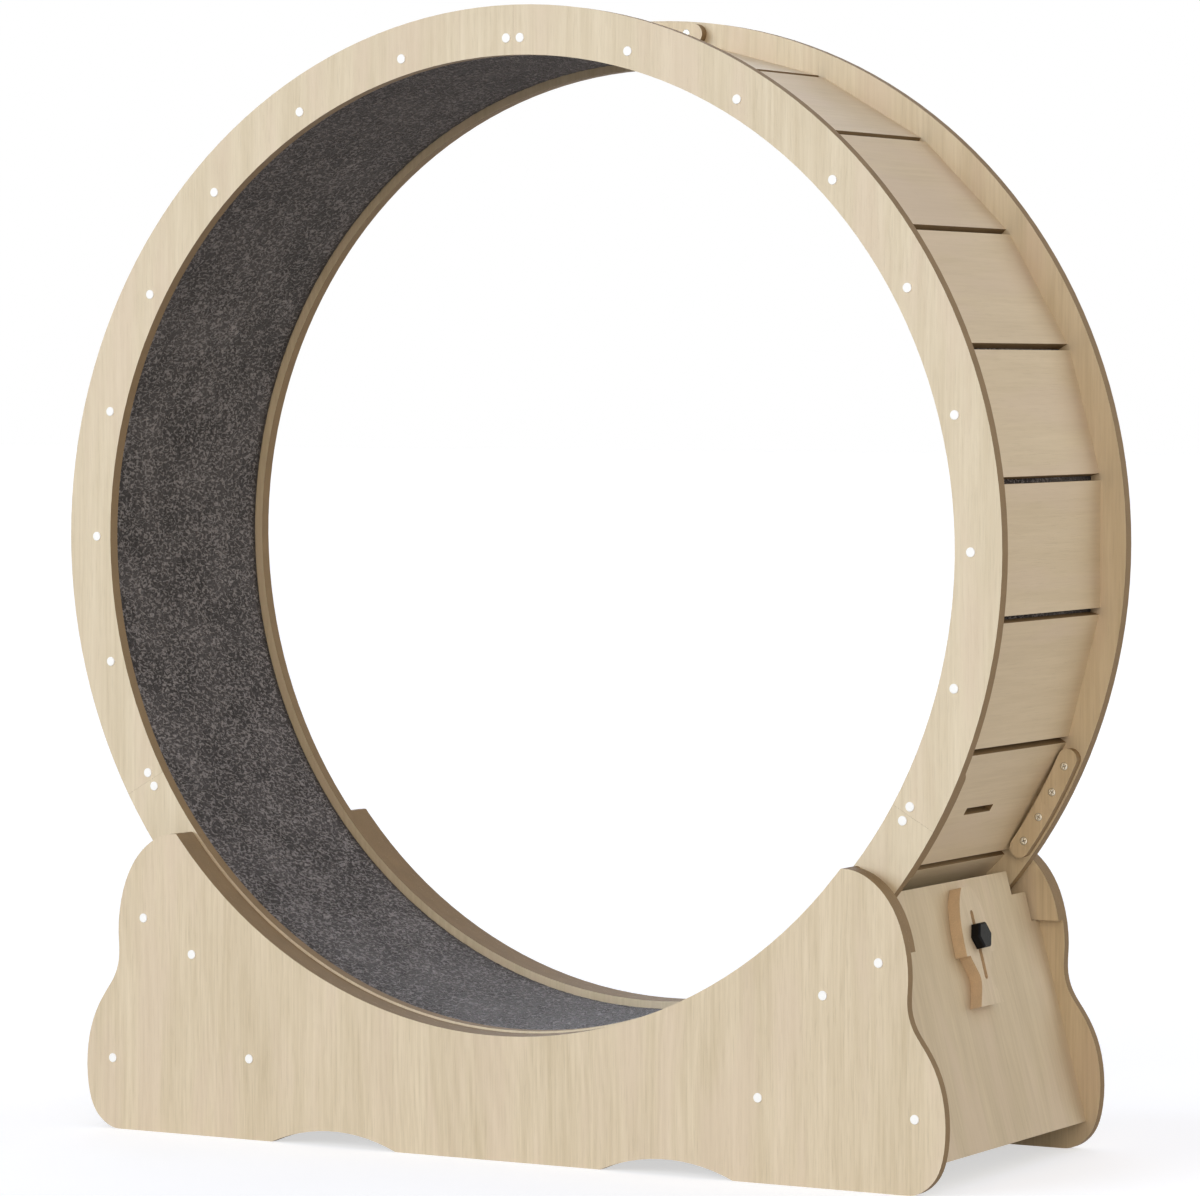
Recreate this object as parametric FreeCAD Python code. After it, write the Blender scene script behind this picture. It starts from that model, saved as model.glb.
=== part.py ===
import FreeCAD
import Part
import math
import os

from FreeCAD import Vector

# Cat exercise wheel: a slatted, carpeted running wheel that turns on four rollers inside a board base.
# Millimetres. X to the right, Y to the back, Z up; the origin is on the floor under the wheel's middle.
# Angles round the wheel are in degrees from the top, clockwise as seen from the front.

# ---------------------------------------------------------------- driving dimensions

# running wheel
WHEEL_RADIUS = 500.0          # outer edge of the two rings
RING_DEPTH = 46.4             # radial width of a ring
RING_BOARD = 12.0             # thickness of a ring
RING_SEGMENTS = 3             # boards that make one ring
SEAM = 0.1                    # hairline between two ring boards
SLAT_LENGTH = 258.0           # distance between the two rings
SLAT_BOARD = 9.5              # thickness of a slat
SLATS_PER_SEGMENT = 8
SLAT_SETBACK = 26.0           # from the ring's outer edge in to the slats' outer faces
SLAT_GAP = 6.5                # open joint between two slats, at their outer faces
CARPET = 4.8                  # thickness of the running carpet at the middle of a slat

# lock slot, cut through the slat at the first ring joint
LOCK_SLOT_WIDTH = 56.0
LOCK_SLOT_HEIGHT = 7.4
LOCK_SLOT_BACK = 5.5          # its middle, towards the back from the slat's middle
LOCK_SLOT_DOWN = 4.8          # its middle, clockwise from the slat's middle

# plates that join the ring boards from inside
SPLICE_BOARD = 9.5
SPLICE_DEPTH = 19.5           # radial width
SPLICE_EDGE = 2.0             # from the ring's outer edge in to the plate
SPLICE_LENGTH = 117.0         # along the ring, over the round ends
SPLICE_SCREWS = 4
SPLICE_SCREW_PITCH = 27.5
SPLICE_SCREW_LENGTH = 18.0

# screws and their white caps
SCREW_RADIUS = 2.0
SCREW_LENGTH = 40.0
SCREW_PAIR = 14.7             # distance between the two screws at a ring joint
HEAD_RADIUS = 3.6
HEAD_HEIGHT = 2.4
HOLE_CLEARANCE = 0.1          # round a shank, a head, a cap's plug or a sleeve's rod
CAP_RADIUS = 4.4
CAP_PROUD = 0.8
CAP_PLUG = 0.7

# base
FLOOR_CLEARANCE = 71.5        # under the wheel
BASE_BOARD = 9.5              # thickness of the side panels, liners, rim strips and end boards
WHEEL_SIDE_CLEARANCE = 2.5    # from a ring's face to the rim strip beside it
CUTOUT_STEP = 1.7             # the panels' round cut-out is this much larger than the ring's inside
RIM_DEPTH = 30.0              # radial width of the liner's and the rim strip's band
PEAK_HEIGHT = 288.0           # top of the two peaks
EAR_HEIGHT = 72.5             # of the liner's ear, down from the peak's top
ARCH_INNER = 110.0            # the feet's ends beside the arch, from the middle
ARCH_OUTER = 248.0
ARCH_RISE = 14.5
RAIL_SIZE = 30.0              # square cross rails
RAIL_INSET = 78.0             # from the peak's inner corner to the rail's middle
RAIL_HEIGHT = 77.2

# right half of a side panel's outline, measured outwards from the peak's inner corner
PEAK_FLAT = 9.0               # top of the peak, beyond the rounded inner corner
PEAK_CORNER = 6.0             # height of the rounded inner corner
WAIST_HEIGHT = 157.7
FOOT = 72.0                   # end of the flat floor edge
# out from the corner, and up from the waist as a share of the lobe's height
UPPER_LOBE = ((35.0, 0.931), (57.2, 0.743), (69.6, 0.474), (72.2, 0.248), (71.7, 0.068))
# out from the corner, and up from the floor as a share of the lobe's height
LOWER_LOBE = ((76.7, 0.944), (90.1, 0.814), (103.4, 0.639), (109.2, 0.412), (107.1, 0.235), (98.7, 0.097))

# slanted end boards
END_TILT = 14.72              # from upright, leaning towards the wheel
END_MIDDLE = 61.0             # middle of the board beyond the peak's inner corner
END_MIDDLE_HEIGHT = 137.0
END_TOP_CLEARANCE = 9.0       # from the slats' corners to the top edge
END_FOOT_GAP = 26.0           # under the bottom edge
END_RING_CLEARANCE = 5.0      # round the rings, in the upper notches
END_PLATE_CLEARANCE = 2.5     # beside the splice plates, in the upper notches
END_EAR_CLEARANCE = 6.5       # beside the liner's ears, in the lower notches
END_EAR_DROP = 1.6            # below the liner's ears
END_SCREW_DROP = 8.6          # the upper screw, below the lower notch
END_SCREW_RISE = 43.8         # the lower screw, above the bottom edge

# rollers
ROLLER_ANGLE = 40.4           # from straight down to a roller, round the wheel
ROLLER_RADIUS = 22.5          # of the tyre
RUNNING_GAP = 0.3             # between the tyre and the ring
TYRE = 6.5                    # thickness
TYRE_CLEARANCE = 0.05         # on the roller's core
TYRE_OVERHANG = 3.0           # past the ring's inner face
FLANGE_GAP = 0.5              # from the ring's outer face
FLANGE = 4.0                  # thickness
FLANGE_LIP = 4.5              # beyond the tyre
AXLE_RADIUS = 4.0
AXLE_FIT = 0.05               # running fit of a roller on its axle
SLEEVE_RADIUS = 7.0
SLEEVE_GAP = 0.25             # beside a roller

# lock on the right end board
LOCK_BOARD = 12.0
LOCK_GAP = 0.3                # under and over the sliding plate
LOCK_TIP_DROP = 7.5           # from the end board's top edge down to the plate's tip
LOCK_HEAD = ((0.0, 9.0), (10.5, 18.0), (30.5, 26.0), (62.5, 29.5))      # from the tip, half width
LOCK_NECK = ((62.5, 22.0), (73.5, 16.5), (84.5, 11.8), (94.0, 14.5), (110.0, 24.0))
LOCK_GROOVE = 6.0             # width of the plate's slot
LOCK_GROOVE_TOP = 21.9        # its ends, from the tip
LOCK_GROOVE_END = 86.3
LOCK_BOLT_DOWN = 46.5         # the bolt, from the tip
BOLT_RADIUS = 2.6
BOLT_HEAD_RADIUS = 6.5
BOLT_HEAD = 2.5
KNOB_ACROSS = 23.0            # across the flats
KNOB = 9.0                    # thickness
KNOB_CHAMFER = 1.5
KNOB_FIT = 0.05               # the knob's bore on the bolt
KNOB_CROWN = 2.5              # left over the bolt's end

# ---------------------------------------------------------------- worked-out places

AXIS_Z = FLOOR_CLEARANCE + WHEEL_RADIUS
RING_INNER = WHEEL_RADIUS - RING_DEPTH
RING_Y = SLAT_LENGTH / 2                     # a ring's inner face
WHEEL_Y = RING_Y + RING_BOARD                # a ring's outer face
SLAT_COUNT = RING_SEGMENTS * SLATS_PER_SEGMENT
SLAT_STEP = 360.0 / SLAT_COUNT
SEGMENT_SPAN = 360.0 / RING_SEGMENTS
SLAT_OUTER = WHEEL_RADIUS - SLAT_SETBACK     # from the axis to a slat's outer face
SLAT_INNER = SLAT_OUTER - SLAT_BOARD
SLAT_WIDTH = 2 * SLAT_OUTER * math.tan(math.radians(SLAT_STEP / 2)) - SLAT_GAP
SLAT_CORNER = math.hypot(SLAT_OUTER, SLAT_WIDTH / 2)
SCREW_CIRCLE = SLAT_OUTER - SLAT_BOARD / 2
SPLICE_OUTER = WHEEL_RADIUS - SPLICE_EDGE
SPLICE_MIDDLE = SPLICE_OUTER - SPLICE_DEPTH / 2
SPLICE_Y = RING_Y - SPLICE_BOARD             # a splice plate's free face

RIM_Y = WHEEL_Y + WHEEL_SIDE_CLEARANCE       # inner faces of the base's three layers
LINER_Y = RIM_Y + BASE_BOARD
PANEL_Y = LINER_Y + BASE_BOARD
OUTER_Y = PANEL_Y + BASE_BOARD
CUTOUT_RADIUS = RING_INNER + CUTOUT_STEP
RIM_OUTER = CUTOUT_RADIUS + RIM_DEPTH
EAR_BOTTOM = PEAK_HEIGHT - EAR_HEIGHT

HEAD_DEPTH = CAP_PLUG + HEAD_HEIGHT
SHANK_HOLE = SCREW_RADIUS + HOLE_CLEARANCE
HEAD_HOLE = HEAD_RADIUS + 2 * HOLE_CLEARANCE


def on_cutout(height):
    """Distance from the middle to the round cut-out at a height above the floor."""
    return math.sqrt(CUTOUT_RADIUS ** 2 - (AXIS_Z - height) ** 2)


PEAK_X = on_cutout(PEAK_HEIGHT - PEAK_CORNER)          # the peak's inner corner
RAIL_X = PEAK_X - RAIL_INSET

SLOPE_X = math.sin(math.radians(END_TILT))             # down the slope: right and down
SLOPE_Z = math.cos(math.radians(END_TILT))
END_X = PEAK_X + END_MIDDLE


def up_slope_to(radius):
    """How far up the end board's inner face comes within a radius of the wheel's axis."""
    x = END_X - SLOPE_Z * BASE_BOARD / 2
    z = END_MIDDLE_HEIGHT - SLOPE_X * BASE_BOARD / 2 - AXIS_Z
    along = z * SLOPE_Z - x * SLOPE_X
    return -along - math.sqrt(along ** 2 - (x * x + z * z - radius ** 2))


END_TOP = up_slope_to(SLAT_CORNER + END_TOP_CLEARANCE)
END_BOTTOM = (END_FOOT_GAP - END_MIDDLE_HEIGHT) / SLOPE_Z
END_RING_NOTCH = up_slope_to(WHEEL_RADIUS + END_RING_CLEARANCE)
END_EAR_NOTCH = (EAR_BOTTOM - END_MIDDLE_HEIGHT) / SLOPE_Z - END_EAR_DROP

ROLLER_REACH = WHEEL_RADIUS + RUNNING_GAP + ROLLER_RADIUS
ROLLER_X = ROLLER_REACH * math.sin(math.radians(ROLLER_ANGLE))
ROLLER_Z = AXIS_Z - ROLLER_REACH * math.cos(math.radians(ROLLER_ANGLE))
TYRE_INNER = ROLLER_RADIUS - TYRE
TYRE_Y = RING_Y - TYRE_OVERHANG              # the roller's end towards the middle
FLANGE_Y = WHEEL_Y + FLANGE_GAP
ROLLER_END_Y = FLANGE_Y + FLANGE

LOCK_TIP = END_TOP - LOCK_TIP_DROP           # up the slope from the board's middle
LOCK_BOLT = LOCK_TIP - LOCK_BOLT_DOWN
LOCK_BASE = BASE_BOARD / 2 + LOCK_GAP        # out from the board's middle
KNOB_BASE = LOCK_BASE + LOCK_BOARD + LOCK_GAP


# ---------------------------------------------------------------- helpers

def point_on_wheel(radius, angle, y=0.0):
    turn = math.radians(angle)
    return Vector(radius * math.sin(turn), y, AXIS_Z + radius * math.cos(turn))


def around(shape, angle):
    """A copy of the shape, turned round the wheel's axis."""
    copy = shape.copy()
    copy.rotate(Vector(0, 0, AXIS_Z), Vector(0, 1, 0), angle)
    return copy


def to_front(shape):
    return shape.mirror(Vector(0, 0, 0), Vector(0, 1, 0))


def to_left(shape):
    return shape.mirror(Vector(0, 0, 0), Vector(1, 0, 0))


def both_ends(shapes):
    return shapes + [to_front(shape) for shape in shapes]


def both_sides(shapes):
    return shapes + [to_left(shape) for shape in shapes]


def rod(radius, y_start, y_end, x, z):
    """A cylinder along Y."""
    low = min(y_start, y_end)
    return Part.makeCylinder(radius, abs(y_end - y_start), Vector(x, low, z), Vector(0, 1, 0))


def sleeve(outer, inner, y_start, y_end, x, z):
    return rod(outer, y_start, y_end, x, z).cut(rod(inner, y_start, y_end, x, z))


def board(edges, y_start, y_end):
    """A board cut to an outline that is drawn at Y = y_start."""
    wire = Part.Wire(Part.__sortEdges__(edges))
    return Part.Face(wire).extrude(Vector(0, y_end - y_start, 0))


def line(start, end):
    return Part.LineSegment(start, end).toShape()


def arc(start, middle, end):
    return Part.Arc(start, middle, end).toShape()


def curve(points, start_direction=None, end_direction=None):
    """A smooth curve through points, with its end directions where they are given."""
    spline = Part.BSplineCurve()
    if start_direction or end_direction:
        spline.interpolate(Points=points, InitialTangent=start_direction, FinalTangent=end_direction,
                           Scale=False)
    else:
        spline.interpolate(points)
    return spline.toShape()


def wheel_arc(radius, start, end, y):
    middle = (start + end) / 2
    return arc(point_on_wheel(radius, start, y), point_on_wheel(radius, middle, y),
               point_on_wheel(radius, end, y))


# ---------------------------------------------------------------- screws and caps

def screw(face_y, x, z, length=SCREW_LENGTH, head_depth=HEAD_DEPTH):
    """A screw driven towards the middle from a face that looks to the back."""
    head = rod(HEAD_RADIUS, face_y - head_depth + HEAD_HEIGHT, face_y - head_depth, x, z)
    return head.fuse(rod(SCREW_RADIUS, face_y - head_depth, face_y - length, x, z))


def screw_hole(face_y, x, z, length=SCREW_LENGTH, head_depth=HEAD_DEPTH):
    counterbore = rod(HEAD_HOLE, face_y, face_y - head_depth, x, z)
    return counterbore.fuse(rod(SHANK_HOLE, face_y, face_y - length - HOLE_CLEARANCE, x, z))


def cap(face_y, x, z):
    """A white cap on a face that looks to the back, with a plug over the screw's head."""
    disc = rod(CAP_RADIUS, face_y, face_y + CAP_PROUD, x, z)
    rim = [edge for edge in disc.Edges if abs(edge.BoundBox.YMin - face_y - CAP_PROUD) < 1e-6
           and abs(edge.BoundBox.YMax - face_y - CAP_PROUD) < 1e-6]
    disc = disc.makeChamfer(CAP_PROUD / 2, rim)
    return disc.fuse(rod(HEAD_RADIUS, face_y, face_y - CAP_PLUG, x, z))


def wheel_screw_points():
    """One screw in the middle of each slat, and two where a ring joint crosses a slat."""
    points = []
    for slat in range(SLAT_COUNT):
        at_joint = slat % SLATS_PER_SEGMENT == 0
        shifts = (-SCREW_PAIR / 2, SCREW_PAIR / 2) if at_joint else (0.0,)
        for shift in shifts:
            turned = slat * SLAT_STEP + math.degrees(math.atan2(shift, SCREW_CIRCLE))
            points.append(point_on_wheel(math.hypot(SCREW_CIRCLE, shift), turned))
    return points


def splice_screw_points():
    """Screws in a row along each splice plate."""
    points = []
    for joint in range(RING_SEGMENTS):
        for number in range(SPLICE_SCREWS):
            along = (number - (SPLICE_SCREWS - 1) / 2) * SPLICE_SCREW_PITCH
            angle = joint * SEGMENT_SPAN + math.degrees(along / SPLICE_MIDDLE)
            points.append(point_on_wheel(SPLICE_MIDDLE, angle))
    return points


def base_screw_points():
    """Two screws into an end board, one into the cross rail and one into the roller axle."""
    ends = [Vector(END_X - up * SLOPE_X, 0, END_MIDDLE_HEIGHT + up * SLOPE_Z)
            for up in (END_EAR_NOTCH - END_SCREW_DROP, END_BOTTOM + END_SCREW_RISE)]
    return ends + [Vector(RAIL_X, 0, RAIL_HEIGHT), Vector(ROLLER_X, 0, ROLLER_Z)]


def splice_screw(point):
    """A screw from a splice plate's free face out into the ring, with its head let in flush."""
    head = rod(HEAD_RADIUS, SPLICE_Y, SPLICE_Y + HEAD_HEIGHT, point.x, point.z)
    return head.fuse(rod(SCREW_RADIUS, SPLICE_Y, SPLICE_Y + SPLICE_SCREW_LENGTH, point.x, point.z))


def splice_screw_hole(point):
    head = rod(HEAD_HOLE, SPLICE_Y, SPLICE_Y + HEAD_HEIGHT, point.x, point.z)
    end = SPLICE_Y + SPLICE_SCREW_LENGTH + HOLE_CLEARANCE
    return head.fuse(rod(SHANK_HOLE, SPLICE_Y, end, point.x, point.z))


WHEEL_HOLES = [screw_hole(WHEEL_Y, p.x, p.z) for p in wheel_screw_points()]
SPLICE_HOLES = [splice_screw_hole(p) for p in splice_screw_points()]
BASE_HOLES = [screw_hole(OUTER_Y, p.x, p.z) for p in base_screw_points()]


# ---------------------------------------------------------------- running wheel

def ring_segment(number):
    """One board of the rear ring, from one joint to the next."""
    trim = math.degrees(SEAM / 2 / WHEEL_RADIUS)
    start = number * SEGMENT_SPAN + trim
    end = (number + 1) * SEGMENT_SPAN - trim
    edges = [
        wheel_arc(WHEEL_RADIUS, start, end, RING_Y),
        wheel_arc(RING_INNER, start, end, RING_Y),
        line(point_on_wheel(RING_INNER, start, RING_Y), point_on_wheel(WHEEL_RADIUS, start, RING_Y)),
        line(point_on_wheel(RING_INNER, end, RING_Y), point_on_wheel(WHEEL_RADIUS, end, RING_Y)),
    ]
    return board(edges, RING_Y, WHEEL_Y).cut(WHEEL_HOLES + SPLICE_HOLES)


def slat(number):
    """A flat board across the wheel, from ring to ring."""
    blank = Part.makeBox(SLAT_WIDTH, SLAT_LENGTH, SLAT_BOARD,
                         Vector(-SLAT_WIDTH / 2, -SLAT_LENGTH / 2, AXIS_Z + SLAT_INNER))
    if number == SLATS_PER_SEGMENT:
        blank = blank.cut(lock_slot())
    angle = number * SLAT_STEP
    middle = point_on_wheel(SCREW_CIRCLE, angle)
    near = [hole for hole in both_ends(WHEEL_HOLES)
            if math.hypot(hole.BoundBox.Center.x - middle.x, hole.BoundBox.Center.z - middle.z)
            < SCREW_PAIR]
    return around(blank, angle).cut(near)


def lock_slot():
    corner = Vector(LOCK_SLOT_DOWN - LOCK_SLOT_HEIGHT / 2, LOCK_SLOT_BACK - LOCK_SLOT_WIDTH / 2,
                    AXIS_Z + SLAT_INNER)
    return Part.makeBox(LOCK_SLOT_HEIGHT, LOCK_SLOT_WIDTH, SLAT_BOARD, corner)


def splice_plate(joint):
    """A curved plate with round ends behind a ring joint, on the rear ring's inner face."""
    inner = SPLICE_OUTER - SPLICE_DEPTH
    tip = math.degrees(SPLICE_LENGTH / 2 / SPLICE_MIDDLE)
    bend = tip - math.degrees(SPLICE_DEPTH / 2 / SPLICE_MIDDLE)
    centre = joint * SEGMENT_SPAN
    edges = [
        wheel_arc(SPLICE_OUTER, centre - bend, centre + bend, SPLICE_Y),
        wheel_arc(inner, centre - bend, centre + bend, SPLICE_Y),
    ]
    for side in (-1, 1):
        edges.append(arc(point_on_wheel(SPLICE_OUTER, centre + side * bend, SPLICE_Y),
                         point_on_wheel(SPLICE_MIDDLE, centre + side * tip, SPLICE_Y),
                         point_on_wheel(inner, centre + side * bend, SPLICE_Y)))
    return board(edges, SPLICE_Y, RING_Y).cut(SPLICE_HOLES)


def running_carpet():
    """Carpet glued to the slats: flat against each slat outside, round inside."""
    corner = SLAT_INNER / math.cos(math.radians(SLAT_STEP / 2))
    points = [point_on_wheel(corner, (number + 0.5) * SLAT_STEP, -SLAT_LENGTH / 2)
              for number in range(SLAT_COUNT)]
    outside = Part.Face(Part.makePolygon(points + points[:1])).extrude(Vector(0, SLAT_LENGTH, 0))
    return outside.cut(rod(SLAT_INNER - CARPET, -SLAT_LENGTH, SLAT_LENGTH, 0, AXIS_Z))


# ---------------------------------------------------------------- base

def lobe(shares, bottom, top, y):
    """Points of the outline between two heights."""
    return [Vector(PEAK_X + out, y, bottom + share * (top - bottom)) for out, share in shares]


def right_outline(y):
    """From the middle of the floor edge round the arch, the foot, both lobes and the peak."""
    foot = Vector(PEAK_X + FOOT, y, 0)
    top = Vector(PEAK_X + PEAK_FLAT, y, PEAK_HEIGHT)
    corner = Vector(PEAK_X, y, PEAK_HEIGHT - PEAK_CORNER)
    shoulder = Vector(PEAK_X + PEAK_FLAT / 4, y, PEAK_HEIGHT - PEAK_CORNER / 4)
    arch_start = Vector(ARCH_INNER, y, 0)
    arch_top = Vector((ARCH_INNER + ARCH_OUTER) / 2, y, ARCH_RISE)
    arch_end = Vector(ARCH_OUTER, y, 0)
    lobes = lobe(UPPER_LOBE, WAIST_HEIGHT, PEAK_HEIGHT, y) + lobe(LOWER_LOBE, 0, WAIST_HEIGHT, y)
    return [
        line(Vector(0, y, 0), arch_start),
        arc(arch_start, arch_top, arch_end),
        line(arch_end, foot),
        curve([top] + lobes + [foot], Vector(1, 0, 0), Vector(-1, 0, 0)),
        arc(top, shoulder, corner),
        line(corner, Vector(PEAK_X, y, AXIS_Z)),
        line(Vector(PEAK_X, y, AXIS_Z), Vector(0, y, AXIS_Z)),
    ]


def whole_outline(y_start, y_end):
    """A board with the panels' whole outline, solid up to the wheel's axis."""
    right = board(right_outline(y_start) + [line(Vector(0, y_start, 0), Vector(0, y_start, AXIS_Z))],
                  y_start, y_end)
    return right.fuse(to_left(right)).removeSplitter()


def cutout(radius):
    return rod(radius, LINER_Y - SLAT_LENGTH, OUTER_Y + BASE_BOARD, 0, AXIS_Z)


def side_panel():
    """The rear side panel, with its round cut-out, two peaks and three feet."""
    return whole_outline(PANEL_Y, OUTER_Y).cut([cutout(CUTOUT_RADIUS)] + both_sides(BASE_HOLES))


def band(y_start, y_end):
    """A curved strip along the round cut-out, up to the peaks' tops."""
    strip = sleeve(RIM_OUTER, CUTOUT_RADIUS, y_start, y_end, 0, AXIS_Z)
    return strip.common(whole_outline(y_start, y_end))


def liner():
    """Second layer inside a side panel: the band and an ear that fills each peak."""
    ears_only = Part.makeBox(4 * WHEEL_RADIUS, BASE_BOARD, PEAK_HEIGHT,
                             Vector(-2 * WHEEL_RADIUS, LINER_Y, EAR_BOTTOM))
    ears = whole_outline(LINER_Y, PANEL_Y).common(ears_only).cut(cutout(CUTOUT_RADIUS))
    return ears.fuse(band(LINER_Y, PANEL_Y)).removeSplitter()


def rim_strip():
    """Third layer: a strip along the cut-out, with its ends cut square to it at the peaks' tops."""
    reach = 4
    axis = Vector(0, RIM_Y, AXIS_Z)
    ends = [Vector(side * reach * (PEAK_X + PEAK_FLAT), RIM_Y, AXIS_Z - reach * (AXIS_Z - PEAK_HEIGHT))
            for side in (-1, 1)]
    between_peaks = Part.Face(Part.makePolygon([axis] + ends + [axis])).extrude(Vector(0, BASE_BOARD, 0))
    return band(RIM_Y, LINER_Y).common(between_peaks)


def end_frame():
    """Places a shape on the right end board: its X to the back, Y up the slope, Z outwards."""
    return FreeCAD.Placement(FreeCAD.Matrix(
        0, -SLOPE_X, SLOPE_Z, END_X,
        1, 0, 0, 0,
        0, SLOPE_Z, SLOPE_X, END_MIDDLE_HEIGHT,
        0, 0, 0, 1))


def on_end_board(shape):
    placed = shape.copy()
    placed.transformShape(end_frame().toMatrix())
    return placed


def end_board():
    """Slanted board between the side panels, stepped back at its upper corners."""
    ring_y = SPLICE_Y - END_PLATE_CLEARANCE
    ear_y = LINER_Y - END_EAR_CLEARANCE
    right = [(0, END_BOTTOM), (PANEL_Y, END_BOTTOM), (PANEL_Y, END_EAR_NOTCH), (ear_y, END_EAR_NOTCH),
             (ear_y, END_RING_NOTCH), (ring_y, END_RING_NOTCH), (ring_y, END_TOP), (0, END_TOP)]
    left = [(-x, y) for x, y in reversed(right[1:-1])]
    corners = [Vector(x, y, -BASE_BOARD / 2) for x, y in right[1:] + left[:1] + left[1:]]
    flat = Part.Face(Part.makePolygon(corners + corners[:1])).extrude(Vector(0, 0, BASE_BOARD))
    return on_end_board(flat).cut(both_ends(BASE_HOLES))


def cross_rail():
    """A square rail from panel to panel."""
    blank = Part.makeBox(RAIL_SIZE, 2 * PANEL_Y, RAIL_SIZE,
                         Vector(RAIL_X - RAIL_SIZE / 2, -PANEL_Y, RAIL_HEIGHT - RAIL_SIZE / 2))
    return blank.cut(both_ends(BASE_HOLES))


# ---------------------------------------------------------------- rollers

def roller_axle():
    """A steel rod from panel to panel, with a screw in each end."""
    return rod(AXLE_RADIUS, -PANEL_Y, PANEL_Y, ROLLER_X, ROLLER_Z).cut(both_ends(BASE_HOLES))


def axle_sleeves():
    """A long sleeve between the two rollers of an axle, and a short one beside each panel."""
    bore = AXLE_RADIUS + HOLE_CLEARANCE
    middle = TYRE_Y - SLEEVE_GAP
    long_sleeve = sleeve(SLEEVE_RADIUS, bore, -middle, middle, ROLLER_X, ROLLER_Z)
    short_sleeve = sleeve(SLEEVE_RADIUS, bore, ROLLER_END_Y + SLEEVE_GAP, PANEL_Y, ROLLER_X, ROLLER_Z)
    return [long_sleeve] + both_ends([short_sleeve])


def roller_core():
    """A moulded core, with one flange beside the ring's outer face."""
    body = rod(TYRE_INNER, TYRE_Y, FLANGE_Y, ROLLER_X, ROLLER_Z)
    flange = rod(ROLLER_RADIUS + FLANGE_LIP, FLANGE_Y, ROLLER_END_Y, ROLLER_X, ROLLER_Z)
    bore = rod(AXLE_RADIUS + AXLE_FIT, TYRE_Y, ROLLER_END_Y, ROLLER_X, ROLLER_Z)
    return body.fuse(flange).cut(bore)


def roller_tyre():
    return sleeve(ROLLER_RADIUS, TYRE_INNER + TYRE_CLEARANCE, TYRE_Y, FLANGE_Y, ROLLER_X, ROLLER_Z)


# ---------------------------------------------------------------- lock

def lock_plate():
    """A sliding plate with a broad head, a drawn-in neck, a flared tail and a slot for the bolt."""
    def flat_point(point, side):
        return Vector(side * point[1], LOCK_TIP - point[0], LOCK_BASE)

    edges = []
    for side in (-1, 1):
        head = [flat_point(point, side) for point in LOCK_HEAD]
        neck = [flat_point(point, side) for point in LOCK_NECK]
        edges += [curve(head), line(head[-1], neck[0]), curve(neck)]
    edges.append(line(flat_point(LOCK_HEAD[0], -1), flat_point(LOCK_HEAD[0], 1)))
    edges.append(line(flat_point(LOCK_NECK[-1], -1), flat_point(LOCK_NECK[-1], 1)))
    blank = Part.Face(Part.Wire(Part.__sortEdges__(edges))).extrude(Vector(0, 0, LOCK_BOARD))
    return on_end_board(blank.cut(lock_groove()))


def lock_groove():
    radius = LOCK_GROOVE / 2
    top = LOCK_TIP - LOCK_GROOVE_TOP - radius
    end = LOCK_TIP - LOCK_GROOVE_END + radius
    slot = Part.makeBox(LOCK_GROOVE, top - end, LOCK_BOARD, Vector(-radius, end, LOCK_BASE))
    rounds = [Part.makeCylinder(radius, LOCK_BOARD, Vector(0, y, LOCK_BASE)) for y in (top, end)]
    return slot.fuse(rounds)


def bolt_hole(radius, bottom, top):
    return Part.makeCylinder(radius, top - bottom, Vector(0, LOCK_BOLT, bottom))


def lock_bolt():
    """A bolt through the end board and the plate's slot, with its head inside."""
    inside = -BASE_BOARD / 2
    head = bolt_hole(BOLT_HEAD_RADIUS, inside - BOLT_HEAD, inside)
    return on_end_board(head.fuse(bolt_hole(BOLT_RADIUS, inside, KNOB_BASE + KNOB - KNOB_CROWN)))


def lock_knob():
    """A six-sided knob on the bolt."""
    corner = KNOB_ACROSS / math.sqrt(3)
    points = [Vector(corner * math.cos(math.radians(60 * k)),
                     LOCK_BOLT + corner * math.sin(math.radians(60 * k)), KNOB_BASE) for k in range(7)]
    hexagon = Part.Face(Part.makePolygon(points)).extrude(Vector(0, 0, KNOB))
    top = [edge for edge in hexagon.Edges if edge.BoundBox.ZMin > KNOB_BASE + KNOB - KNOB_CHAMFER]
    hexagon = hexagon.makeChamfer(KNOB_CHAMFER, top)
    bore = bolt_hole(BOLT_RADIUS + KNOB_FIT, KNOB_BASE, KNOB_BASE + KNOB - KNOB_CROWN + KNOB_FIT)
    return on_end_board(hexagon.cut(bore))


# ---------------------------------------------------------------- assembly

def group(shapes):
    return Part.makeCompound(shapes)


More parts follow.
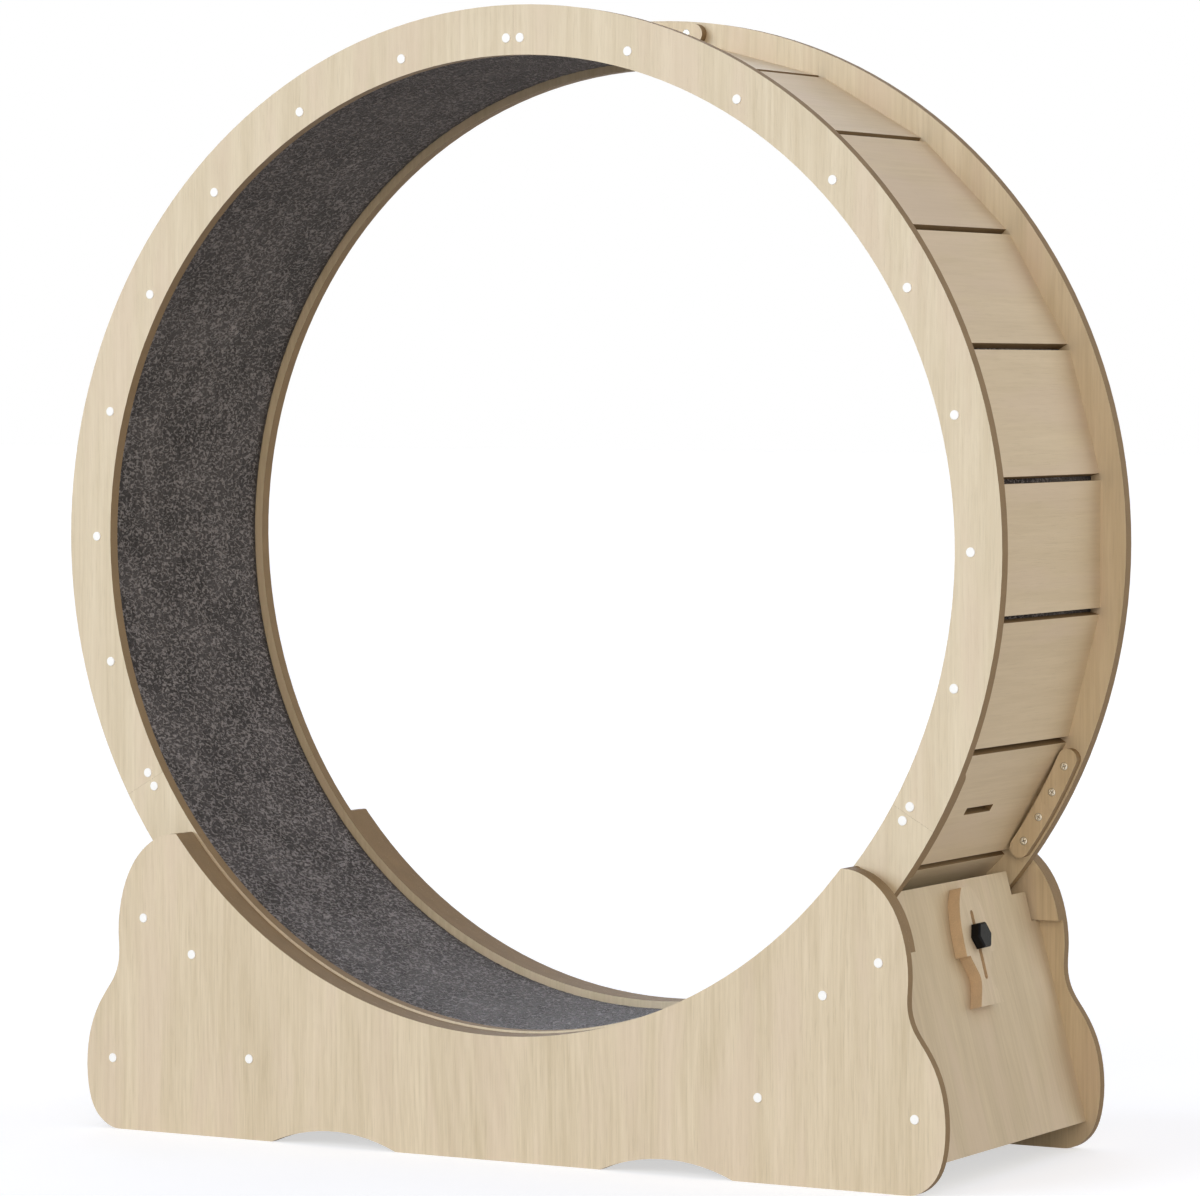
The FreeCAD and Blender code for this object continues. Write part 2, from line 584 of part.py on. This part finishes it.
def all_nodes():
    nodes = {}
    for number in range(RING_SEGMENTS):
        segment = ring_segment(number)
        nodes[f"rear_ring_segment_{number + 1}"] = segment
        nodes[f"front_ring_segment_{number + 1}"] = to_front(segment)
    for number in range(SLAT_COUNT):
        nodes[f"slat_{number + 1:02d}"] = slat(number)
    plates = [splice_plate(joint) for joint in range(RING_SEGMENTS)]
    nodes["rear_splice_plates"] = group(plates)
    nodes["front_splice_plates"] = group([to_front(plate) for plate in plates])
    nodes["running_carpet"] = running_carpet()
    through_ring = [screw(WHEEL_Y, p.x, p.z) for p in wheel_screw_points()]
    through_plate = [splice_screw(p) for p in splice_screw_points()]
    nodes["wheel_screws"] = group(both_ends(through_ring + through_plate))
    nodes["wheel_caps"] = group(both_ends([cap(WHEEL_Y, p.x, p.z) for p in wheel_screw_points()]))

    panel = side_panel()
    lining = liner()
    strip = rim_strip()
    nodes["rear_side_panel"] = panel
    nodes["front_side_panel"] = to_front(panel)
    nodes["rear_liner"] = lining
    nodes["front_liner"] = to_front(lining)
    nodes["rear_rim_strip"] = strip
    nodes["front_rim_strip"] = to_front(strip)
    end = end_board()
    nodes["left_end_board"] = to_left(end)
    nodes["right_end_board"] = end.cut(on_end_board(
        bolt_hole(BOLT_RADIUS + HOLE_CLEARANCE, -BASE_BOARD / 2, BASE_BOARD / 2)))
    nodes["right_cross_rail"] = cross_rail()
    nodes["left_cross_rail"] = to_left(cross_rail())
    screws = [screw(OUTER_Y, p.x, p.z) for p in base_screw_points()]
    caps = [cap(OUTER_Y, p.x, p.z) for p in base_screw_points()]
    nodes["base_screws"] = group(both_sides(both_ends(screws)))
    nodes["base_caps"] = group(both_sides(both_ends(caps)))

    nodes["roller_axles"] = group(both_sides([roller_axle()]))
    nodes["axle_sleeves"] = group(both_sides(axle_sleeves()))
    for part, shape in (("core", roller_core()), ("tyre", roller_tyre())):
        nodes[f"rear_right_roller_{part}"] = shape
        nodes[f"rear_left_roller_{part}"] = to_left(shape)
        nodes[f"front_right_roller_{part}"] = to_front(shape)
        nodes[f"front_left_roller_{part}"] = to_left(to_front(shape))

    nodes["lock_plate"] = lock_plate()
    nodes["lock_bolt"] = lock_bolt()
    nodes["lock_knob"] = lock_knob()
    return nodes


os.makedirs("parts", exist_ok=True)
for name, shape in all_nodes().items():
    solids = shape.Solids
    piece = solids[0] if len(solids) == 1 else Part.makeCompound(solids)
    piece.exportStep(f"parts/{name}.step")
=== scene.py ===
import math

import bpy
import numpy as np
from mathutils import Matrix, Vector


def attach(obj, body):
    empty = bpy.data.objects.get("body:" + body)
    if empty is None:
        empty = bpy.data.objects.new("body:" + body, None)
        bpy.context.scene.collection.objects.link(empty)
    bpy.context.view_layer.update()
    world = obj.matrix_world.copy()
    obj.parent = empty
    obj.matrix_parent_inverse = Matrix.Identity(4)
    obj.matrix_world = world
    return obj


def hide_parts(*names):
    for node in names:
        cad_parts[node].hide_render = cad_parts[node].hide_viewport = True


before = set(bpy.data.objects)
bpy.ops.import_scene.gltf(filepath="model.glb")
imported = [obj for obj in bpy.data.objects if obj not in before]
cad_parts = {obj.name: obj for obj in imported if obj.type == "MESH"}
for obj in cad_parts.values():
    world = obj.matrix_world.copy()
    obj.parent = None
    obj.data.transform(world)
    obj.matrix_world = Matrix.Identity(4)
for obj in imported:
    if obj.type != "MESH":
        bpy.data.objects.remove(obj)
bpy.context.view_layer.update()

# Cat exercise wheel. Metres, in the CAD frame: X to the right, Y to the back, Z up from the floor.
# Angles round the wheel are clockwise from the top, as seen from the front.

AXIS_Z = 0.5715                # the wheel's axis above the floor
SLATS = 24
RING_BOARDS = 3                # boards that make one ring
SLAT_REACH = 0.474             # from the axis to a slat's outer face
CARPET_HALF = 0.129            # half the running carpet's width
END_SLOPE = (0.2541, 0.9672)   # sine and cosine of the end boards' lean


def srgb(red, green, blue):
    """A colour written in 0 to 255 steps, as the linear values that a shader takes."""
    parts = [c / 255 for c in (red, green, blue)]
    linear = [c / 12.92 if c <= 0.04045 else ((c + 0.055) / 1.055) ** 2.4 for c in parts]
    return (*linear, 1.0)


def shaded(colour, share):
    """The colour made darker, or lighter by a share over 1."""
    return (*(min(1.0, part * share) for part in colour[:3]), 1.0)


# ---------------------------------------------------------------- shader arithmetic

class Value:
    """A number that varies over a surface. Arithmetic on it adds Math nodes to its finish."""

    def __init__(self, finish, socket):
        self.finish = finish
        self.socket = socket

    def __add__(self, other):
        return self.finish.math("ADD", self, other)

    __radd__ = __add__

    def __sub__(self, other):
        return self.finish.math("SUBTRACT", self, other)

    def __rsub__(self, other):
        return self.finish.math("SUBTRACT", other, self)

    def __mul__(self, other):
        return self.finish.math("MULTIPLY", self, other)

    __rmul__ = __mul__

    def __truediv__(self, other):
        return self.finish.math("DIVIDE", self, other)

    def __neg__(self):
        return self.finish.math("MULTIPLY", self, -1.0)

    def __abs__(self):
        return self.finish.math("ABSOLUTE", self)


class Shading:
    """The nodes of a material or of the world, added one by one."""

    def __init__(self, owner):
        owner.use_nodes = True
        self.tree = owner.node_tree
        self.tree.nodes.clear()

    def node(self, kind, settings=None, inputs=None):
        """Adds a node: its settings first, then the values or links of its sockets. Gives its outputs."""
        made = self.tree.nodes.new(kind)
        for name, value in (settings or {}).items():
            setattr(made, name, value)
        for name, value in (inputs or {}).items():
            if isinstance(value, Value):
                self.tree.links.new(value.socket, made.inputs[name])
            else:
                made.inputs[name].default_value = value
        return {key: Value(self, out)
                for index, out in enumerate(made.outputs) for key in (index, out.name)}

    def math(self, operation, *values, clamp=False):
        return self.node("ShaderNodeMath", {"operation": operation, "use_clamp": clamp},
                         dict(enumerate(values)))[0]

    def seen(self, *rays):
        """1 where one of these rays looks at the surface, and 0 for the rays that light the object."""
        kinds = self.node("ShaderNodeLightPath")
        share = 0.0
        for ray in rays:
            share = self.math("MAXIMUM", share, kinds[f"Is {ray} Ray"])
        return share

    def mix(self, share, first, second):
        return self.node("ShaderNodeMix", {"data_type": "RGBA"}, {0: share, 6: first, 7: second})[2]


class Finish(Shading):
    """A procedural material."""

    def __init__(self, name):
        self.material = bpy.data.materials.new(name)
        super().__init__(self.material)
        self.place = self.node("ShaderNodeTexCoord")

    def spot(self):
        """The surface point's X, Y and Z, in metres."""
        parts = self.node("ShaderNodeSeparateXYZ", None, {0: self.place["Object"]})
        return parts[0], parts[1], parts[2]

    def facing(self):
        """X, Y and Z of the surface's own direction."""
        parts = self.node("ShaderNodeSeparateXYZ", None, {0: self.place["Normal"]})
        return parts[0], parts[1], parts[2]

    def vector(self, x, y, z):
        return self.node("ShaderNodeCombineXYZ", None, {0: x, 1: y, 2: z})[0]

    def noise(self, x, y, z, detail=2.0, roughness=0.5, distortion=0.0):
        return self.node("ShaderNodeTexNoise", None,
                         {"Vector": self.vector(x, y, z), "Scale": 1.0, "Detail": detail,
                          "Roughness": roughness, "Distortion": distortion})[0]

    def step(self, value, low, high):
        """0 below low, 1 above high, smooth between."""
        return self.node("ShaderNodeMapRange", {"interpolation_type": "SMOOTHSTEP"},
                         {0: value, 1: low, 2: high})[0]

    def bump(self, height, distance, strength=1.0):
        return self.node("ShaderNodeBump", None,
                         {"Strength": strength, "Distance": distance, "Height": height})[0]

    def surface(self, **sockets):
        """The finished surface: sockets of the Principled shader, by name."""
        named = {name.replace("_", " "): value for name, value in sockets.items()}
        shader = self.node("ShaderNodeBsdfPrincipled", None, named)[0]
        self.node("ShaderNodeOutputMaterial", None, {"Surface": shader})
        return self.material


# ---------------------------------------------------------------- boards

def round_the_wheel(finish, boards, start=0.0):
    """The angle round the wheel from start, 0 to a full turn, and the number of the board it is on."""
    x, _, z = finish.spot()
    up = z - AXIS_Z
    across = x * math.cos(start) - up * math.sin(start)
    above = x * math.sin(start) + up * math.cos(start)
    angle = finish.math("ARCTAN2", -across, -above) + math.pi
    number = finish.math("FLOOR", angle * (boards / math.tau))
    return angle, number


def ring_frame(finish):
    """Grain upright on a ring's faces. Each of a ring's boards is cut from its own place in the sheet."""
    x, y, z = finish.spot()
    _, number = round_the_wheel(finish, RING_BOARDS)
    back = finish.math("GREATER_THAN", y, 0.0)
    return z + number * 1.7, x + number * 0.83 + back * 2.3, y, abs(finish.facing()[1])


def panel_frame(finish):
    """Grain upright on the base's panels."""
    x, y, z = finish.spot()
    back = finish.math("GREATER_THAN", y, 0.0)
    return z, x + back * 1.9, y, abs(finish.facing()[1])


def slat_frame(finish):
    """Grain along the axis on every slat, each from its own place in the sheet."""
    x, y, z = finish.spot()
    angle, number = round_the_wheel(finish, SLATS, start=-math.pi / SLATS)
    up = z - AXIS_Z
    depth = finish.math("SQRT", x * x + up * up)
    across_x, _, across_z = finish.facing()
    outwards = abs(across_x * x + across_z * up) / depth
    return y + number * 0.71, angle * SLAT_REACH, depth, outwards


def end_frame(finish):
    """Grain down the slope on the end boards and the lock plate."""
    sine, cosine = END_SLOPE
    x, y, z = finish.spot()
    across_x, _, across_z = finish.facing()
    side = finish.math("GREATER_THAN", x, 0.0)
    along = z * cosine - abs(x) * sine
    outwards = abs(across_x) * cosine + across_z * sine
    return along, y + side * 0.9, abs(x), outwards


BLUSH = srgb(218, 198, 173)


def oak_board(name, frame_of, light, dark, edge, shift=0.0, figure=0.14, contrast=1.0):
    """Pale oak on a board's two faces, over a brown fibre core that shows at its cut edges.

    The grain is noise drawn out along the board: fine streaks about 3 mm wide, slow bands 20 mm wide,
    growth rings that are a sine of the distance across plus a slow wander, short dark pores, and
    patches with a blush of pink."""
    finish = Finish(name)
    along, across, depth, outwards = frame_of(finish)
    across = across + shift

    wander = finish.noise(across * 5.0, along * 1.3, depth * 4.0, detail=2.0)
    across_grain = across + wander * 0.012
    streaks = finish.noise(across_grain * 360.0, along * 11.0, depth * 30.0, detail=3.0, roughness=0.62)
    bands = finish.noise(across_grain * 52.0, along * 3.5, depth * 8.0, detail=2.0)
    rings = finish.math("SINE", (across + wander * 0.16) * 760.0)
    rings_show = finish.step(finish.noise(across * 9.0, along * 1.1, depth * 3.0), 0.45, 0.62)
    pores = finish.step(finish.noise(across_grain * 1500.0, along * 38.0, depth * 90.0, detail=1.0),
                        0.60, 0.70)

    shade = (streaks - 0.5) * 1.5 + (bands - 0.5) * 1.3 + rings * rings_show * figure
    face_colour = finish.mix(finish.math("ADD", shade * contrast, 0.5, clamp=True), light, dark)
    face_colour = finish.mix(pores * (0.16 * contrast), face_colour, shaded(dark, 0.55))
    blush = finish.step(finish.noise(across * 26.0, along * 4.5, depth * 9.0 + 5.0), 0.46, 0.66)
    face_colour = finish.mix(blush * 0.5, face_colour, BLUSH)

    fibres = finish.noise(across * 900.0, along * 900.0, depth * 900.0, detail=4.0, roughness=0.7)
    cloudy = finish.noise(across * 60.0, along * 60.0, depth * 60.0)
    edge_shade = finish.math("ADD", fibres * 0.9, cloudy * 0.6 - 0.25, clamp=True)
    edge_colour = finish.mix(edge_shade, shaded(edge, 0.72), shaded(edge, 1.22))

    face = finish.step(outwards, 0.55, 0.75)
    colour = finish.mix(face, edge_colour, face_colour)
    height = face * (streaks * 0.5 - pores * 0.6) + (1.0 - face) * fibres
    roughness = 0.62 - face * 0.14 + streaks * 0.08
    return finish.surface(Base_Color=colour, Roughness=roughness,
                          Normal=finish.bump(height, 0.00025, 0.5))


# ---------------------------------------------------------------- other finishes

def carpet_pile():
    """Charcoal looped pile, its edges darkened with painted shade where the mat meets the rings.

    The loops are short light worms: the lines where a warped noise crosses its middle, broken up by a
    second noise, and stretched to twice their size across the mat."""
    finish = Finish("looped_pile")
    x, y, z = finish.spot()
    across = y * 0.5
    loops = finish.noise(x * 215.0, across * 215.0, z * 215.0, detail=1.0, distortion=0.7)
    worms = 1.0 - finish.math("MINIMUM", abs(loops - 0.5) * 9.0, 1.0)
    breaks = finish.step(finish.noise(x * 380.0, across * 380.0, z * 380.0, detail=1.0), 0.36, 0.56)
    yarn = finish.noise(x * 900.0, across * 900.0, z * 900.0, detail=2.0, roughness=0.7)
    patches = finish.noise(x * 20.0, y * 20.0, z * 20.0, detail=3.0)
    shade = finish.math("ADD", worms * breaks * 0.75 + yarn * 0.5, patches * 0.4 - 0.38, clamp=True)
    tone = finish.mix(shade, srgb(47, 44, 46), srgb(166, 160, 162))
    # Painted shade: the last few millimetres at each edge of the mat are mixed towards near-black, standing
    # in for the shade where it meets the rings.
    inside = finish.step(CARPET_HALF - abs(y), 0.003, 0.011)
    colour = finish.mix(inside, srgb(32, 26, 24), tone)
    height = worms * breaks * 0.9 + yarn * 0.2
    return finish.surface(Base_Color=colour, Roughness=0.95, Specular_IOR_Level=0.15,
                          Sheen_Weight=0.25, Sheen_Roughness=0.5,
                          Normal=finish.bump(height, 0.0016, 0.9))


def metal(name, tone, roughness, fine=1400.0):
    """Bare metal, drawn along Y: fine lines in its colour, roughness and height."""
    finish = Finish(name)
    x, y, z = finish.spot()
    lines = finish.noise(x * fine, y * 60.0, z * fine, detail=3.0)
    clouds = finish.noise(x * 120.0, y * 120.0, z * 120.0, detail=2.0)
    colour = finish.mix(finish.math("MULTIPLY", lines + clouds * 0.4, 0.7, clamp=True),
                        shaded(tone, 0.86), shaded(tone, 1.08))
    return finish.surface(Base_Color=colour, Metallic=1.0, Roughness=roughness + lines * 0.16,
                          Normal=finish.bump(lines, 0.00008, 0.4))


def moulded(name, tone, roughness, grain=700.0, relief=0.00012, contrast=0.10, gloss=0.5):
    """Moulded plastic or rubber: a faint cloudiness, and the fine grain of the mould."""
    finish = Finish(name)
    x, y, z = finish.spot()
    grains = finish.noise(x * grain, y * grain, z * grain, detail=3.0, roughness=0.6)
    clouds = finish.noise(x * 70.0, y * 70.0, z * 70.0, detail=2.0)
    share = finish.math("ADD", grains * 0.5, clouds * 0.5, clamp=True)
    colour = finish.mix(share, shaded(tone, 1.0 - contrast), shaded(tone, 1.0 + contrast))
    return finish.surface(Base_Color=colour, Roughness=roughness + grains * 0.12,
                          Specular_IOR_Level=gloss, Normal=finish.bump(grains, relief, 0.6))


LIGHT_OAK = srgb(227, 212, 184)
DARK_OAK = srgb(206, 189, 158)
SLAT_LIGHT = srgb(225, 207, 176)
SLAT_DARK = srgb(205, 186, 153)
BASE_LIGHT = srgb(224, 207, 178)
BASE_DARK = srgb(201, 183, 151)
END_LIGHT = srgb(217, 200, 169)
END_DARK = srgb(195, 177, 145)
CORE = srgb(141, 115, 78)

ring_oak = oak_board("ring_oak", ring_frame, LIGHT_OAK, DARK_OAK, CORE, contrast=0.8)
slat_oak = oak_board("slat_oak", slat_frame, SLAT_LIGHT, SLAT_DARK, CORE, figure=0.04, contrast=0.6)
panel_oak = oak_board("panel_oak", panel_frame, BASE_LIGHT, BASE_DARK, CORE)
liner_oak = oak_board("liner_oak", panel_frame, BASE_LIGHT, BASE_DARK, CORE, shift=4.1)
end_oak = oak_board("end_oak", end_frame, END_LIGHT, END_DARK, CORE, figure=0.08, contrast=0.7)
lock_oak = oak_board("lock_oak", end_frame, BASE_LIGHT, BASE_DARK, srgb(214, 188, 155), shift=2.6)
splice_oak = oak_board("splice_oak", ring_frame, BASE_LIGHT, BASE_DARK, CORE, shift=3.3)
rail_oak = oak_board("rail_oak", slat_frame, BASE_LIGHT, BASE_DARK, CORE, shift=1.2)

pile = carpet_pile()
screw_steel = metal("screw_steel", srgb(188, 186, 182), 0.24)
screw_zinc = metal("screw_zinc", srgb(252, 246, 234), 0.40)
axle_steel = metal("axle_steel", srgb(176, 177, 180), 0.20)
sleeve_alloy = metal("sleeve_alloy", srgb(196, 198, 200), 0.30, fine=800.0)
cap_white = moulded("cap_white", srgb(250, 249, 246), 0.32, contrast=0.02)
roller_nylon = moulded("roller_nylon", srgb(214, 213, 208), 0.38, contrast=0.05)
tyre_rubber = moulded("tyre_rubber", srgb(58, 58, 60), 0.55, grain=1200.0, relief=0.0002)
knob_black = moulded("knob_black", srgb(13, 12, 13), 0.42, grain=900.0, relief=0.0002, gloss=0.16)

NODE_FINISHES = {
    "ring_segment": ring_oak,
    "slat_": slat_oak,
    "splice_plates": splice_oak,
    "side_panel": panel_oak,
    "liner": liner_oak,
    "rim_strip": liner_oak,
    "end_board": end_oak,
    "cross_rail": rail_oak,
    "wheel_screws": screw_steel,
    "base_screws": screw_steel,
    "caps": cap_white,
    "roller_axles": axle_steel,
    "axle_sleeves": sleeve_alloy,
    "roller_core": roller_nylon,
    "roller_tyre": tyre_rubber,
    "lock_plate": lock_oak,
    "lock_bolt": axle_steel,
    "lock_knob": knob_black,
    "running_carpet": pile,
}

for node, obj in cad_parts.items():
    finish = next(made for part, made in NODE_FINISHES.items() if part in node)
    for slot in obj.material_slots:
        slot.material = finish


# ---------------------------------------------------------------- meshes from arrays

def grid_faces(rows, columns, close_rows=False):
    """Four-cornered faces of a grid of points, row by row. Each row is a closed ring of points."""
    down = np.arange(rows if close_rows else rows - 1)
    right = np.arange(columns)
    i, j = np.meshgrid(down, right, indexing="ij")
    next_i, next_j = (i + 1) % rows, (j + 1) % columns
    corners = [i * columns + j, i * columns + next_j, next_i * columns + next_j, next_i * columns + j]
    return np.stack([c.ravel() for c in corners], axis=1)


def wheel_piece(name, points, faces, finish):
    """A new smooth piece with its place in its mesh, riding on the wheel."""
    mesh = bpy.data.meshes.new(name)
    mesh.from_pydata(points.reshape(-1, 3).tolist(), [], faces)
    mesh.polygons.foreach_set("use_smooth", np.full(len(faces), True))
    mesh.update()
    mesh.materials.append(finish)
    obj = bpy.data.objects.new(name, mesh)
    bpy.context.scene.collection.objects.link(obj)
    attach(obj, "wheel")
    return obj


# ---------------------------------------------------------------- running carpet

CARPET_FACE = 0.4602           # from the axis to the pile's mean surface
CARPET_BACK = 0.4643           # from the axis to its backing, at the middle of a slat
CARPET_ROWS = 960              # points round the wheel
CARPET_COLUMNS = 93            # points across the pile
PILE_HEIGHT = 0.00055          # of the loops, either way from the mean surface
PILE_PITCH = 0.0085            # distance between rows of loops
PILE_SPREAD = 0.28             # how much the pitch varies, as a share of it
PILE_PRESS = 1.1               # how hard the loops are pressed to one height
EDGE_ROLL = 0.0018             # how far the pile sinks at the mat's edges
EDGE_ROLL_WIDTH = 0.0022


def pile_height():
    """Loops of pile as a height from -1 to 1: noise that keeps only waves about one pitch long.

    Random numbers on the grid are turned to waves by a Fourier transform, weighted by a bell round one
    wave per pitch, turned back, and pressed towards -1 and 1 so that they stand up as rounded worms."""
    random = np.random.default_rng(11)
    field = random.standard_normal((CARPET_ROWS, CARPET_COLUMNS))
    row_step = math.tau * CARPET_FACE / CARPET_ROWS
    column_step = 2 * CARPET_HALF / (CARPET_COLUMNS - 1)
    waves_round = np.fft.fftfreq(CARPET_ROWS, row_step)[:, None]
    waves_across = np.fft.fftfreq(CARPET_COLUMNS, column_step)[None, :]
    length = np.hypot(waves_round, waves_across) * PILE_PITCH
    field = np.fft.ifft2(np.fft.fft2(field) * np.exp(-((length - 1.0) / PILE_SPREAD) ** 2)).real
    return np.tanh(field / field.std() * PILE_PRESS)


def running_carpet():
    """A mat whose section is carried round the wheel: its back lies on the flat slats, its pile is round.

    A back point's distance from the axis is its depth over the cosine of its angle from the slat's
    middle. A face point's is the same all round, plus the edges' roll, less the pile's height."""
    turn = np.linspace(0.0, math.tau, CARPET_ROWS, endpoint=False)
    step = math.tau / SLATS
    from_middle = (turn + step / 2) % step - step / 2

    across = np.linspace(-CARPET_HALF, CARPET_HALF, CARPET_COLUMNS)
    edge_roll = EDGE_ROLL * np.exp(-(CARPET_HALF - np.abs(across)) / EDGE_ROLL_WIDTH)
    inside = np.minimum((CARPET_HALF - np.abs(across)) / PILE_PITCH, 1.0)
    face = CARPET_FACE + edge_roll[None, :] - pile_height() * inside[None, :] * PILE_HEIGHT
    back = np.repeat((CARPET_BACK / np.cos(from_middle))[:, None], 2, axis=1)

    y = np.concatenate([across, [CARPET_HALF, -CARPET_HALF]])
    reach = np.concatenate([face, back], axis=1)
    angle = turn[:, None]
    points = np.stack([reach * np.sin(angle), np.broadcast_to(y, reach.shape),
                       AXIS_Z + reach * np.cos(angle)], axis=-1)
    faces = grid_faces(CARPET_ROWS, len(y), close_rows=True)[:, ::-1].tolist()
    mat = wheel_piece("running_mat", points, faces, pile)
    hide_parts("running_carpet")


running_carpet()


# ---------------------------------------------------------------- small fastenings

SPLICE_FACE = 0.1195           # a splice plate's free face, from the wheel's middle
SPLICE_SCREWS = 4
SPLICE_REACH = 0.48825         # from the axis to the row of screws along a splice plate
SPLICE_PITCH = 0.0275          # between two of those screws
HEAD_RADIUS = 0.0036
HEAD_CROWN = 0.0007            # height of a screw's head over the plate
HEAD_SINK = 0.0002             # of the head's rim in the plate
RECESS_HALF = 0.13             # half a bar of the cross recess, as a share of the head's radius
RECESS_REACH = 0.62            # from the head's middle to a bar's end, as a share of the same
RECESS_DEPTH = 0.0004          # of the recess, under the plate's face
HEAD_RINGS = 15
HEAD_SPOKES = 40


def screw_head():
    """A domed head with a cross recess, as heights over a disc of points.

    The dome is one less the square of the distance from the middle. The recess is a cross of two bars,
    each a steep step down at half its width times a step down at its end, and cut below the plate."""
    radius = np.linspace(0.0, 1.0, HEAD_RINGS)[1:, None]
    turn = np.linspace(0.0, math.tau, HEAD_SPOKES, endpoint=False)[None, :]
    u, v = radius * np.cos(turn), radius * np.sin(turn)
    bars = [1.0 / (1.0 + np.exp((np.abs(a) - RECESS_HALF) * 34.0))
            / (1.0 + np.exp((np.abs(b) - RECESS_REACH) * 20.0)) for a, b in ((u, v), (v, u))]
    dome = HEAD_CROWN * (1.0 - radius ** 2) * np.ones_like(u)
    height = dome - np.maximum(*bars) * (dome + RECESS_DEPTH)
    ring = np.stack([u * HEAD_RADIUS, v * HEAD_RADIUS, height - HEAD_SINK * (radius == 1.0)], axis=-1)
    middle = np.array([[0.0, 0.0, -RECESS_DEPTH]])
    return np.concatenate([middle, ring.reshape(-1, 3)])


def head_faces():
    """A fan round the middle, then rings of four-cornered faces, and the underside closed by one face."""
    spoke = np.arange(HEAD_SPOKES)
    after = (spoke + 1) % HEAD_SPOKES
    fan = [(0, a + 1, b + 1) for a, b in zip(spoke.tolist(), after.tolist())]
    rings = grid_faces(HEAD_RINGS - 1, HEAD_SPOKES)[:, ::-1] + 1
    last = 1 + (HEAD_RINGS - 2) * HEAD_SPOKES
    return fan + rings.tolist() + [tuple(range(last + HEAD_SPOKES - 1, last - 1, -1))]


def splice_screw_heads(name, side):
    """The heads of the screws in one ring's splice plates, each turned its own way. Side is -1 in front."""
    random = np.random.default_rng(5 if side > 0 else 6)
    head, faces = screw_head(), head_faces()
    points, all_faces = [], []
    for joint in range(RING_BOARDS):
        for number in range(SPLICE_SCREWS):
            along = (number - (SPLICE_SCREWS - 1) / 2) * SPLICE_PITCH
            angle = joint * math.tau / RING_BOARDS + along / SPLICE_REACH
            turned = random.uniform(0.0, math.tau)
            x = head[:, 0] * math.cos(turned) - head[:, 1] * math.sin(turned)
            z = head[:, 0] * math.sin(turned) + head[:, 1] * math.cos(turned)
            place = np.stack([SPLICE_REACH * math.sin(angle) + x * side,
                              (SPLICE_FACE - head[:, 2]) * side,
                              AXIS_Z + SPLICE_REACH * math.cos(angle) + z], axis=-1)
            all_faces += [tuple(corner + len(head) * len(points) for corner in face) for face in faces]
            points.append(place)
    wheel_piece(name, np.concatenate(points), all_faces, screw_zinc)


splice_screw_heads("front_splice_screw_heads", -1)
splice_screw_heads("rear_splice_screw_heads", 1)


# ---------------------------------------------------------------- stage, light and camera

SKY_LIGHT = (0.35, 0.35, 0.37, 1.0)
FLOOR_HALF = 40.0              # half the floor's width
FLOOR_GLOW = (0.60, 0.60, 0.60, 1.0)
UNLIT = (0.0, 0.0, 0.0, 1.0)


def floor():
    """A pale floor. The camera sees it lit up to white, and it keeps the shadow."""
    finish = Finish("studio_floor")
    seen = finish.seen("Camera", "Glossy", "Transmission")
    x, y, _ = finish.spot()
    mottle = finish.noise(x * 6.0, y * 6.0, 0.0, detail=2.0)
    warm = finish.mix(mottle, srgb(196, 186, 172), srgb(200, 190, 176))
    neutral = finish.mix(mottle, srgb(192, 192, 192), srgb(196, 196, 196))
    colour = finish.mix(seen, warm, neutral)
    finish.surface(Base_Color=colour, Roughness=1.0, Specular_IOR_Level=0.0,
                   Emission_Color=finish.mix(seen, UNLIT, FLOOR_GLOW), Emission_Strength=1.0)
    mesh = bpy.data.meshes.new("studio_floor")
    corners = [(x * FLOOR_HALF, y * FLOOR_HALF, 0.0) for x, y in ((-1, -1), (1, -1), (1, 1), (-1, 1))]
    mesh.from_pydata(corners, [], [(0, 1, 2, 3)])
    mesh.materials.append(finish.material)
    obj = bpy.data.objects.new("studio_floor", mesh)
    bpy.context.scene.collection.objects.link(obj)


floor()


def sky():
    """An even pale sky: the camera sees white, and the object is lit by SKY_LIGHT."""
    world = bpy.data.worlds.new("studio_sky")
    bpy.context.scene.world = world
    shading = Shading(world)
    colour = shading.mix(shading.seen("Camera", "Transmission"), SKY_LIGHT, (1.0, 1.0, 1.0, 1.0))
    background = shading.node("ShaderNodeBackground", None, {"Color": colour})[0]
    shading.node("ShaderNodeOutputWorld", None, {"Surface": background})


sky()


def sun(name, towards, light, softness):
    """A soft lamp that shines from a direction. Light of 1 shows a facing surface in its own colour."""
    lamp = bpy.data.lights.new(name, "SUN")
    lamp.energy = max(light) * math.pi
    lamp.color = [part / max(light) for part in light]
    lamp.angle = math.radians(softness)
    obj = bpy.data.objects.new(name, lamp)
    obj.rotation_euler = Vector(towards).to_track_quat("Z", "Y").to_euler()
    bpy.context.scene.collection.objects.link(obj)


sun("left_lamp", (-0.5, -0.8, 0.3), (0.50, 0.57, 0.64), 40.0)
sun("right_lamp", (0.5, -0.8, 0.3), (0.25, 0.205, 0.146), 40.0)
sun("top_lamp", (0.1, 0.1, 1.0), (0.07, 0.08, 0.14), 70.0)
sun("back_right_lamp", (0.65, 0.7, 0.3), (0.268, 0.268, 0.234), 50.0)
sun("back_left_lamp", (-0.5, 0.85, 0.2), (0.30, 0.31, 0.33), 50.0)


def camera():
    """Stands where the photograph was taken from."""
    lens = bpy.data.cameras.new("camera")
    lens.sensor_width = 36.0
    lens.lens = 159.35
    lens.shift_x = 0.0332
    lens.shift_y = -0.0588
    lens.clip_end = 200.0
    obj = bpy.data.objects.new("camera", lens)
    obj.location = (2.4919, -4.3991, 0.7289)
    obj.rotation_euler = (math.radians(88.35), 0.0, math.radians(29.83))
    bpy.context.scene.collection.objects.link(obj)
    bpy.context.scene.camera = obj


camera()

bpy.context.scene.view_settings.view_transform = "Standard"
